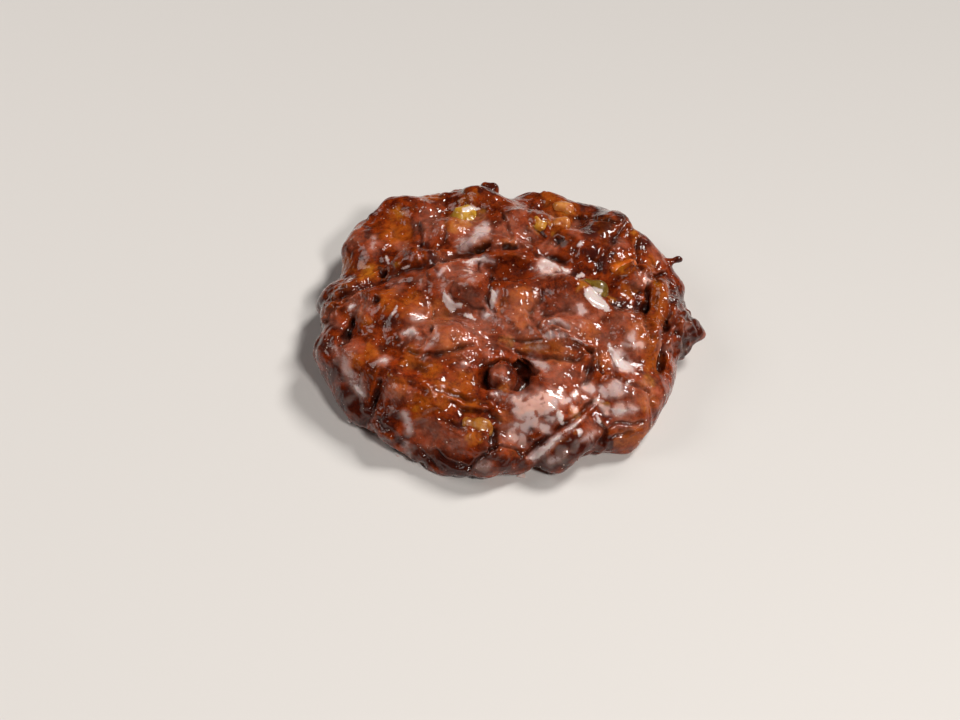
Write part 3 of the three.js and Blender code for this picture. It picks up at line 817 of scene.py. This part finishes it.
class Surface:
    """A mesh of quads as arrays, with its edges, for smoothing and for measuring how hollow it is."""

    def __init__(self, points, quads):
        self.points = points
        self.quads = quads
        sides = np.concatenate([quads[:, [i, (i + 1) % 4]] for i in range(4)])
        self.edges = np.unique(np.sort(sides, axis=1), axis=0)
        self.degree = np.bincount(self.edges.ravel(), minlength=len(points))

    def relaxed(self, values, rounds, share=0.5):
        """Values at the points, moved towards the mean of their neighbours."""
        a, b = self.edges.T
        for _ in range(rounds):
            total = np.zeros_like(values)
            for column in range(values.shape[1]):
                total[:, column] = np.bincount(a, values[b, column], len(values))
                total[:, column] += np.bincount(b, values[a, column], len(values))
            values = values + share * (total / self.degree[:, None] - values)
        return values

    def normals(self):
        corners = self.points[self.quads]
        facing = np.cross(corners[:, 2] - corners[:, 0], corners[:, 3] - corners[:, 1])
        total = np.zeros_like(self.points)
        for i in range(4):
            for column in range(3):
                total[:, column] += np.bincount(self.quads[:, i], facing[:, column], len(self.points))
        return total / np.maximum(np.linalg.norm(total, axis=1, keepdims=True), 1e-9)

    def hollowness(self, rounds):
        """How far each point lies below the smoothed surface, in millimetres."""
        smooth = self.relaxed(self.points, rounds)
        return ((smooth - self.points) * self.normals()).sum(axis=1)


def meshed(field, shape, low, step, rounds):
    """The surface where a field on a grid is zero, smoothed a few times."""
    surface = Surface(*surface_net(field.reshape(shape), low, step))
    surface.points = surface.relaxed(surface.points, rounds)
    return surface


# The dough's surface, with what the photo shows drawn on it


def in_view(points, normals):
    """One where the photo shows the surface, falling to zero where it turns away."""
    towards = CAMERA_PLACE - points
    towards /= np.linalg.norm(towards, axis=1, keepdims=True)
    return smooth_step(-0.05, 0.25, (normals * towards).sum(axis=1))


def ragged_pixels(points, reach, seed):
    """Where points show in the photo, shifted by a few pixels so that what is drawn gets uneven edges."""
    return to_pixels(points) + reach * wobble(points, seed, EDGE_SIZE)[:, :2]


def drawn_relief(pixels):
    """Height of the creases, ridges and bumps at pixels of the photo."""
    height = np.zeros(len(pixels))
    for depth, reach, path in CREASES.values():
        index = boxed(pixels, path, 4 * reach)
        gap = line_gap(pixels[index], path) / reach
        lips = CREASE_LIPS * np.exp(-((gap - 2) ** 2))
        height[index] += CREASE_SHARE * depth * (lips - np.exp(-gap * gap))
    for rise, reach, path in RIDGES.values():
        index = boxed(pixels, path, 3 * reach)
        gap = line_gap(pixels[index], path) / reach
        height[index] += rise * np.exp(-gap * gap)
    for x, y, radius, rise in BUMPS:
        share = ((pixels - (x, y)) ** 2).sum(axis=1) / radius**2
        height += rise * np.clip(1 - share, 0, None) ** 2
    return height


def fine_relief(points):
    """Height of the unevenness and wrinkles that the whole skin has."""
    shifted = points + WRINKLE_SHIFT * wobble(points, SEEDS["wrinkle_shift"], WRINKLE_SHIFT_SIZE)
    wrinkles = np.abs(fractal(shifted * (1.0, 1.3, 1.1), SEEDS["wrinkles"], WRINKLE_SIZE))
    uneven = fractal(points, SEEDS["fine"], FINE_SIZE, 3)
    return FINE_HEIGHT * uneven + WRINKLE_HEIGHT * (smooth_step(0.0, 0.35, wrinkles) - 0.7)


def plain_surface():
    """The dough with its folds, lumps and gaps and an uneven underside, smoothed a little."""
    points, shape = grid_points(GRID_LOW, GRID_HIGH, STEP)
    field = dough_field(points)
    skin = np.nonzero(np.abs(field) < SKIN)[0]
    field[skin] += relief(points[skin])
    field = with_gaps(points, field)
    uneven = UNDERSIDE_UNEVENNESS * Noise(SEEDS["underside"], UNDERSIDE_SIZE)(points)
    field = np.maximum(field, UNDERSIDE_HEIGHT + uneven - points[:, 2])
    return meshed(field, shape, GRID_LOW, STEP, 2)


def dough_surface():
    """The plain surface, raised and sunk by what the photo shows and by the skin's fine relief."""
    surface = plain_surface()
    normals = surface.normals()
    shown = in_view(surface.points, normals)
    drawn = drawn_relief(ragged_pixels(surface.points, 2.0, SEEDS["relief_edge"]))
    pixels = ragged_pixels(surface.points, 2.0, SEEDS["glaze_edge"])
    drawn += GLAZE_HEIGHT * smooth_step(0.3, 0.7, poured_and_glinting(pixels))
    filled = FILLED_SHARE * shown * np.maximum(painted(pixels, FILM_AND_GLARE), veiled_and_highlit(pixels))
    above_floor = smooth_step(0.5, 3.0, surface.points[:, 2])
    height = (drawn * shown + fine_relief(surface.points) * (1 - filled)) * above_floor
    surface.points = surface.points + height[:, None] * normals
    surface.points[:, 2] = np.maximum(surface.points[:, 2], 0.0)
    return surface


# Paint: masks at the points, for the materials to mix by


def painted(pixels, spots):
    """How much of a colour each pixel has, from round spots that fade out."""
    mask = np.zeros(len(pixels))
    for x, y, radius in spots:
        share = np.sqrt(((pixels - (x, y)) ** 2).sum(axis=1)) / radius
        mask = np.maximum(mask, 1 - smooth_step(0.3, 1.1, share))
    return mask


def stroke_gap(pixels, stroke):
    """Distance to the edge of a stroke whose half width changes along it, less than zero inside."""
    gap = np.full(len(pixels), np.inf)
    for (*a, width_a), (*b, width_b) in zip(stroke[:-1], stroke[1:]):
        a, b = np.array(a), np.array(b)
        t = np.clip((pixels - a) @ (b - a) / ((b - a) @ (b - a)), 0, 1)
        away = np.linalg.norm(pixels - a - t[:, None] * (b - a), axis=1)
        gap = np.minimum(gap, away - width_a - t * (width_b - width_a))
    return gap


def poured_and_glinting(pixels):
    """Half at the edges of the thick glaze and painted glints, and rising to one inside."""
    mask = np.zeros(len(pixels))
    for stroke in MILK_AND_GLINTS.values():
        gap = stroke_gap(pixels, stroke)
        mask = np.maximum(mask, np.clip(0.5 - gap / (2 * MILK_AND_GLINT_EDGE), 0, 1))
    return mask


def veiled_and_highlit(pixels):
    """How white the thin glaze and painted highlights are at pixels, between 0 and 1."""
    mask = np.zeros(len(pixels))
    for white, stroke in VEILS_AND_HIGHLIGHTS.values():
        gap = stroke_gap(pixels, stroke)
        mask = np.maximum(mask, white * (1 - smooth_step(-VEIL_AND_HIGHLIGHT_EDGE, VEIL_AND_HIGHLIGHT_EDGE, gap)))
    return mask


def dough_masks(surface):
    points = surface.points
    shown = in_view(points, surface.normals())
    pixels = ragged_pixels(points, 4.0, SEEDS["paint_edge"])
    milk_and_glint_pixels = ragged_pixels(points, 1.0, SEEDS["glaze_edge"])
    veil_and_highlight_pixels = ragged_pixels(points, 2.0, SEEDS["glaze_edge"])
    fine = surface.hollowness(8)
    # Painted shade: darker where the surface lies below its smoothed self
    crevice_shade = 0.95 * smooth_step(0.15, 1.6, surface.hollowness(60) + 1.8 * fine)

    def mask(spots, seed, size, low, high, share):
        """Painted spots where the photo shows the dough, and random patches that are weaker there."""
        scattered = smooth_step(low, high, fractal(points, seed, size))
        return np.maximum(painted(pixels, spots) * shown, scattered * (share + (1 - share) * (1 - shown)))

    def hidden_glaze(seed, size):
        """Random patches on the upper part of the sides that the photo doesn't show."""
        patches = smooth_step(0.4, 0.9, fractal(points, seed, size, 3))
        return patches * (1 - shown) * smooth_step(6.0, 14.0, points[:, 2])

    masks = {name: mask(*paint) for name, paint in PAINTS.items()}
    masks["film_and_glare"] *= 1 - 0.8 * painted(pixels, FILM_HOLES) * shown
    masks["milk_and_glints"] = np.maximum(poured_and_glinting(milk_and_glint_pixels) * shown, hidden_glaze(SEEDS["hidden_milk"], 6.0))
    masks["veil_and_highlight"] = np.maximum(veiled_and_highlit(veil_and_highlight_pixels) * shown, 0.6 * hidden_glaze(SEEDS["hidden_veil"], 12.0))
    masks["crevice_shade"] = surface.relaxed(crevice_shade[:, None], 3)[:, 0]
    # Painted light: lighter on bumps that stand out
    masks["raised_light"] = smooth_step(0.0, 0.5, -fine)
    return masks


# Materials


def linear(code):
    """A colour from a web code, as a shader takes it."""
    channels = [int(code[i : i + 2], 16) / 255 for i in (0, 2, 4)]
    return tuple(c / 12.92 if c < 0.04045 else ((c + 0.055) / 1.055) ** 2.4 for c in channels) + (1.0,)


class Graph:
    """A material's node tree, with short calls for the nodes that the materials use."""

    def __init__(self, name):
        self.material = bpy.data.materials.new(name)
        self.material.use_nodes = True
        self.tree = self.material.node_tree
        self.shader = self.tree.nodes["Principled BSDF"]
        self.place = self.node("TexCoord").outputs["Object"]

    def put(self, socket, value):
        """Links another node's output to a socket, or sets a plain value or a colour's web code on it."""
        if isinstance(value, bpy.types.NodeSocket):
            self.tree.links.new(value, socket)
        elif isinstance(value, str):
            socket.default_value = linear(value)
        else:
            socket.default_value = value

    def fill(self, node, values):
        """Puts values on a node's sockets, with underscores for the spaces in their names."""
        for name, value in values.items():
            self.put(node.inputs[name.replace("_", " ")], value)

    def set(self, **values):
        self.fill(self.shader, values)

    def node(self, kind, **values):
        node = self.tree.nodes.new("ShaderNode" + kind)
        self.fill(node, values)
        return node

    def attribute(self, name):
        node = self.node("Attribute")
        node.attribute_name = name
        return node.outputs["Fac"]

    def noise(self, size, detail=3.0, roughness=0.5, distortion=0.0):
        """Noise whose features are about this many millimetres across."""
        node = self.node("TexNoise", Vector=self.place, Scale=1 / (size * MM))
        self.fill(node, {"Detail": detail, "Roughness": roughness, "Distortion": distortion})
        return node.outputs["Fac"]

    def cells(self, size):
        """Distance to the nearest of points scattered about this many millimetres apart."""
        return self.node("TexVoronoi", Vector=self.place, Scale=1 / (size * MM)).outputs["Distance"]

    def math(self, operation, a, b):
        node = self.node("Math")
        node.operation = operation
        self.put(node.inputs[0], a)
        self.put(node.inputs[1], b)
        return node.outputs[0]

    def plus(self, a, b):
        return self.math("ADD", a, b)

    def minus(self, a, b):
        return self.math("SUBTRACT", a, b)

    def times(self, a, b):
        return self.math("MULTIPLY", a, b)

    def larger(self, a, b):
        return self.math("MAXIMUM", a, b)

    def around_zero(self, noise, reach):
        """Noise moved to lie on both sides of zero, and scaled by a reach."""
        return self.times(self.minus(noise, 0.5), reach)

    def step(self, value, low, high, bottom=0.0, top=1.0):
        """A smooth passage from bottom to top while a value goes from low to high."""
        node = self.node("MapRange", Value=value, From_Min=low, From_Max=high, To_Min=bottom, To_Max=top)
        node.interpolation_type = "SMOOTHSTEP"
        return node.outputs[0]

    def mix(self, share, a, b):
        """The first colour, with a share of the second one."""
        node = self.node("Mix")
        node.data_type = "RGBA"
        self.put(node.inputs[0], share)
        self.put(node.inputs[6], a)
        self.put(node.inputs[7], b)
        return node.outputs[2]

    def bump(self, height, depth, under=None, strength=1.0):
        """A normal from a height between 0 and 1 that is this many millimetres deep."""
        node = self.node("Bump", Height=height, Distance=depth * MM, Strength=strength)
        if under is not None:
            self.put(node.inputs["Normal"], under)
        return node.outputs["Normal"]


def crust_tone(g, grain, ragged):
    """Bare fried skin: browns, amber and gold, lighter amber on bumps that stand out as painted light,
    darker where it is charred or pitted and in spots of painted shade, with a painted grey sheen, under a
    faint hazy glaze that is partly painted sheen and light.
    """

    def share(name, high, most):
        """A mask with a ragged edge, as the share of its colour."""
        return g.step(g.plus(g.attribute(name), ragged), 0.0, high, 0.0, most)

    browned = g.plus(g.noise(4.5, 5.0, 0.65), g.around_zero(grain, 0.35))
    tone = g.mix(g.step(browned, 0.34, 0.66), MAHOGANY_TONE, RED_BROWN_TONE)
    streaks = g.step(g.noise(3.2, 5.0, 0.62, 0.6), 0.35, 0.62, 0.25, 1.0)
    tone = g.mix(g.times(share("amber", 1.1, 0.85), streaks), tone, AMBER_TONE)
    tone = g.mix(g.times(share("gold", 1.2, 0.65), streaks), tone, GOLD_TONE)
    # Painted light: lighter amber on bumps that stand out
    tone = g.mix(g.times(g.attribute("raised_light"), 0.25), tone, AMBER_TONE)
    # Burnt crust, with painted shade in some spots
    tone = g.mix(share("char_and_shade", 1.1, 0.88), tone, CHAR_AND_SHADE_TONE)
    pits = g.step(g.noise(2.4, 4.0, 0.65), 0.36, 0.3, 0.0, 0.45)
    pores = g.step(g.noise(1.0, 3.0, 0.6), 0.46, 0.34, 0.0, 0.2)
    tone = g.mix(g.larger(pits, pores), tone, CHAR_AND_SHADE_TONE)
    # Pink glaze haze, partly painted sheen and painted light
    cloudy = g.times(g.attribute("haze_and_light"), g.step(g.noise(4.0, 4.0, 0.6), 0.3, 0.65, 0.3, 1.0))
    # Painted grey sheen
    tone = g.mix(share("cool_sheen", 1.2, 0.4), tone, COOL_SHEEN_TONE)
    return g.mix(g.times(cloudy, 0.3), tone, HAZE_AND_LIGHT_TONE)


def thinly_glazed(g, tone, torn):
    """A torn sheet of glaze with painted glare over a tone, then painted shade in the crevices, then thin
    veils with painted highlights, and flecks of glaze.
    """
    # A torn glaze film, partly painted glare
    torn_film_and_glare = g.step(g.plus(g.attribute("film_and_glare"), torn), 0.45, 0.9, 0.0, 0.42)
    film_and_glare = g.plus(g.times(g.attribute("film_and_glare"), 0.4), torn_film_and_glare)
    silvery = g.mix(g.step(g.noise(6.0, 4.0), 0.42, 0.62), FILM_AND_GLARE_TONE, VEIL_AND_HIGHLIGHT_TONE)
    tone = g.mix(film_and_glare, tone, silvery)
    # Painted shade in the crevices, which also keeps the veils and flecks out of them
    tone = g.mix(g.attribute("crevice_shade"), tone, CREVICE_SHADE_TONE)
    unshaded_skin = g.step(g.attribute("crevice_shade"), 0.1, 0.7, 1.0, 0.25)
    # Thin glaze with painted highlights
    veil_and_highlight = g.times(g.attribute("veil_and_highlight"), g.step(torn, -0.2, 0.08, 0.35, 1.15))
    whiter = g.mix(g.step(veil_and_highlight, 0.0, 0.4), HAZE_AND_LIGHT_TONE, VEIL_AND_HIGHLIGHT_TONE)
    tone = g.mix(g.times(veil_and_highlight, unshaded_skin), tone, whiter)
    flecks = g.times(g.step(g.noise(2.0, 4.0, 0.7, 0.4), 0.65, 0.71, 0.0, 0.4), unshaded_skin)
    flecks = g.times(flecks, g.step(g.noise(9.0, 2.0), 0.42, 0.62))
    return g.mix(flecks, tone, SPARK_AND_GLINT_TONE)


def thickly_glazed(g, tone, milk_and_glints):
    """Mottled white glaze over a tone, with painted glints in it, and tiny sparks of sugar that also stand
    for painted glints.
    """
    mottled = g.mix(g.step(g.noise(2.6, 4.0, 0.65), 0.42, 0.62), MILK_AND_GLINT_TONE, VEIL_AND_HIGHLIGHT_TONE)
    # White glaze, partly painted glints
    tone = g.mix(milk_and_glints, tone, mottled)
    # Sugar sparks, which also stand for painted glints
    size = g.step(g.noise(3.0, 3.0), 0.5, 0.7, 0.0, 0.22)
    sparks_and_glints = g.step(g.minus(g.cells(1.5), size), -0.03, 0.03, 0.6, 0.0)
    return g.mix(sparks_and_glints, tone, SPARK_AND_GLINT_TONE)


def skin_normal(g, grain, milk_and_glints):
    """Coarse and fine unevenness of the skin, weaker under the glaze and in some broad patches."""
    covered = g.times(g.larger(milk_and_glints, g.attribute("film_and_glare")), 0.7)
    bare = g.times(g.minus(1.0, covered), g.step(g.noise(14.0, 2.0), 0.36, 0.62, 0.25, 1.0))
    coarse = g.bump(g.noise(2.4, 2.0, 0.5), 0.65, strength=bare)
    return g.bump(grain, 0.04, coarse, bare)


def dough_material():
    g = Graph("glazed_fried_dough")
    speckle = g.noise(1.8, 5.0, 0.65)
    grain = g.noise(0.7, 3.0, 0.6)
    ragged = g.around_zero(speckle, 0.8)
    # White glaze and painted glints
    milk_and_glints = g.step(g.plus(g.attribute("milk_and_glints"), g.times(ragged, 0.9)), 0.42, 0.66, 0.0, 0.92)
    tone = crust_tone(g, grain, ragged)
    tone = thinly_glazed(g, tone, g.around_zero(g.noise(4.0, 6.0, 0.68), 2.0))
    normal = skin_normal(g, grain, milk_and_glints)
    g.set(
        Base_Color=thickly_glazed(g, tone, milk_and_glints),
        Roughness=g.step(speckle, 0.3, 0.7, 0.4, 0.6),
        Specular_IOR_Level=0.06,
        Normal=normal,
        Coat_Weight=g.step(g.attribute("crevice_shade"), 0.2, 0.9, 1.0, 0.2),
        Coat_IOR=1.4,
        Coat_Roughness=0.05,
        Coat_Normal=normal,
        Subsurface_Weight=0.2,
        Subsurface_Radius=(1.0, 0.35, 0.12),
        Subsurface_Scale=0.003,
    )
    return g.material


def fallen_glaze_material():
    g = Graph("fallen_glaze")
    tone = g.mix(g.step(g.noise(1.5, 3.0), 0.35, 0.65), DRIP_TONE, MILK_AND_GLINT_TONE)
    g.set(Base_Color=tone, Roughness=0.35, Coat_Weight=1.0, Coat_Roughness=0.08)
    return g.material


def apple_material(name, ripe, pale):
    """Cooked apple: a translucent flesh that goes from one colour to another, with white glaze and painted
    glints on it.
    """
    g = Graph(name)
    tone = g.mix(g.step(g.noise(3.5, 3.0, 0.55), 0.35, 0.65), ripe, pale)
    ragged = g.around_zero(g.noise(1.8, 5.0, 0.65), 0.7)
    milk_and_glints = g.step(g.plus(g.attribute("milk_and_glints"), ragged), 0.42, 0.66, 0.0, 0.92)
    g.set(
        Base_Color=g.mix(milk_and_glints, tone, MILK_AND_GLINT_TONE),
        Roughness=g.step(g.noise(1.5), 0.3, 0.7, 0.25, 0.4),
        Normal=g.bump(g.noise(1.8, 3.0), 0.3),
        Coat_Weight=0.6,
        Coat_Roughness=0.14,
        Subsurface_Weight=0.35,
        Subsurface_Radius=(1.0, 0.6, 0.2),
        Subsurface_Scale=0.004,
    )
    return g.material


# Pieces


def linked(name, data):
    """A new object in the scene."""
    piece = bpy.data.objects.new(name, data)
    bpy.context.scene.collection.objects.link(piece)
    return piece


def mesh_piece(name, surface, material, masks):
    mesh = bpy.data.meshes.new(name)
    mesh.from_pydata((surface.points * MM).tolist(), [], surface.quads.tolist())
    mesh.shade_smooth()
    for mask, values in masks.items():
        layer = mesh.attributes.new(mask, "FLOAT", "POINT")
        layer.data.foreach_set("value", values.astype(np.float32))
    mesh.materials.append(material)
    return linked(name, mesh)


def thin_underside(piece, surface):
    """Takes most of the faces off the underside, and none from the rest."""
    facing_down = surface.normals()[:, 2] < -UNDERSIDE_FLATNESS
    under = np.nonzero(facing_down & (surface.points[:, 2] < UNDERSIDE_TOP))[0]
    group = piece.vertex_groups.new(name="underside")
    group.add(under.tolist(), 1.0, "REPLACE")
    thinner = piece.modifiers.new("thinner", "DECIMATE")
    thinner.vertex_group = group.name
    thinner.ratio = 1 - UNDERSIDE_CUT * len(under) / len(surface.points)
    evaluated = piece.evaluated_get(bpy.context.evaluated_depsgraph_get())
    piece.data = bpy.data.meshes.new_from_object(evaluated)
    piece.modifiers.clear()
    piece.vertex_groups.clear()


def add_dough():
    surface = dough_surface()
    piece = mesh_piece("glazed_dough", surface, dough_material(), dough_masks(surface))
    thin_underside(piece, surface)
    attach(piece, "root")
    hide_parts("dough")


def dice_field(points, dice):
    """Distance to a dice of apple with rounded edges."""
    x, y, z, length, width, height, turn, tip = dice
    u, v, w = (points - (x, y, z)).T
    u, v = turned(u, v, turn)
    v, w = turned(v, w, tip)
    rounding = DICE_ROUNDING * min(length, width, height)
    away = np.abs(np.stack([u, v, w], axis=1)) - np.array([length, width, height]) / 2 + rounding
    return np.linalg.norm(np.maximum(away, 0), axis=1) + np.minimum(away.max(axis=1), 0) - rounding


def add_dice(name, dice, seed):
    reach = np.full(3, 0.7 * max(dice[3:6]) + 1)
    low = np.array(dice[:3]) - reach
    points, shape = grid_points(low, low + 2 * reach, SMALL_STEP)
    field = dice_field(points, dice) + DICE_UNEVENNESS * fractal(points, seed, DICE_UNEVEN_SIZE)
    surface = meshed(field, shape, low, SMALL_STEP, 2)
    pixels = ragged_pixels(surface.points, 1.0, SEEDS["glaze_edge"])
    # White glaze and painted glints on the dice
    milk_and_glints = poured_and_glinting(pixels) * in_view(surface.points, surface.normals())
    piece = mesh_piece(name + "_flesh", surface, apple_material(name, *APPLE_TONES[name]), {"milk_and_glints": milk_and_glints})
    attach(piece, "root")
    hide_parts(name)


def drip_surface(radius, pixels):
    """A drip along a path on the floor, flattened and uneven."""
    path = seen_at(pixels) * (1, 1, 0)
    low = path.min(axis=0) - 2.0
    points, shape = grid_points(low, path.max(axis=0) + 2.5, SMALL_STEP)
    uneven = DRIP_UNEVENNESS * fractal(points, SEEDS["drips"], DRIP_UNEVEN_SIZE)
    field = line_gap(points * (1, 1, DRIP_FLATNESS), path) - radius + uneven
    field = np.maximum(field, DRIP_UNDERSIDE - points[:, 2])
    return meshed(field, shape, low, SMALL_STEP, 1)


def add_drips():
    """Glaze that has run or crumbled onto the floor beside the fritter, all in one piece."""
    points, quads = np.zeros((0, 3)), np.zeros((0, 4), int)
    for radius, pixels in DRIPS.values():
        drip = drip_surface(radius, pixels)
        quads = np.concatenate([quads, drip.quads + len(points)])
        points = np.concatenate([points, drip.points])
    piece = mesh_piece("fallen_glaze", Surface(points, quads), fallen_glaze_material(), {})
    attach(piece, "root")


# Stage


def add_floor():
    g = Graph("floor")
    g.set(Base_Color=FLOOR_COLOUR, Roughness=0.8)
    mesh = bpy.data.meshes.new("floor")
    corners = [(x * FLOOR_REACH, y * FLOOR_REACH, 0) for x, y in ((-1, -1), (1, -1), (1, 1), (-1, 1))]
    mesh.from_pydata(corners, [], [(0, 1, 2, 3)])
    mesh.materials.append(g.material)
    piece = linked("floor", mesh)


def add_lamp(name, kind, towards, energy, colour):
    """A light that shines from a direction on the middle of the floor."""
    light = bpy.data.lights.new(name, kind)
    light.energy = energy
    light.color = colour
    piece = linked(name, light)
    piece.rotation_euler = (-Vector(towards)).to_track_quat("-Z", "Y").to_euler()
    return piece


def add_lights():
    """A sun as the key light, whose spread softens its shadows, and the area lights."""
    key = add_lamp("key", "SUN", KEY_TOWARDS, KEY_STRENGTH, KEY_COLOUR)
    key.data.angle = math.radians(KEY_SPREAD)
    for name, (place, size, watts, colour) in AREA_LIGHTS.items():
        lamp = add_lamp(name, "AREA", place, watts, colour)
        lamp.data.size = size
        lamp.location = place


def add_world():
    """A plain backdrop that lights nothing."""
    world = bpy.data.worlds.new("studio")
    world.use_nodes = True
    background = world.node_tree.nodes["Background"]
    background.inputs["Color"].default_value = BACKDROP_COLOUR
    for ray in ("diffuse", "glossy", "transmission", "scatter"):
        setattr(world.cycles_visibility, ray, False)
    bpy.context.scene.world = world


def add_camera():
    data = bpy.data.cameras.new("camera")
    data.sensor_width = SENSOR_WIDTH
    data.lens = FOCAL_PIXELS / IMAGE_WIDTH * SENSOR_WIDTH
    piece = linked("camera", data)
    piece.location = Vector(CAMERA_PLACE * MM)
    piece.rotation_euler = (math.pi / 2 - CAMERA_TILT, 0, 0)
    bpy.context.scene.camera = piece


# Everything put together

add_dough()
for number, (name, dice) in enumerate(APPLE_DICE.items()):
    add_dice(name, dice, SEEDS["dice"] + 5 * number)
add_drips()
add_floor()
add_lights()
add_world()
add_camera()
bpy.context.scene.view_settings.view_transform = "Standard"
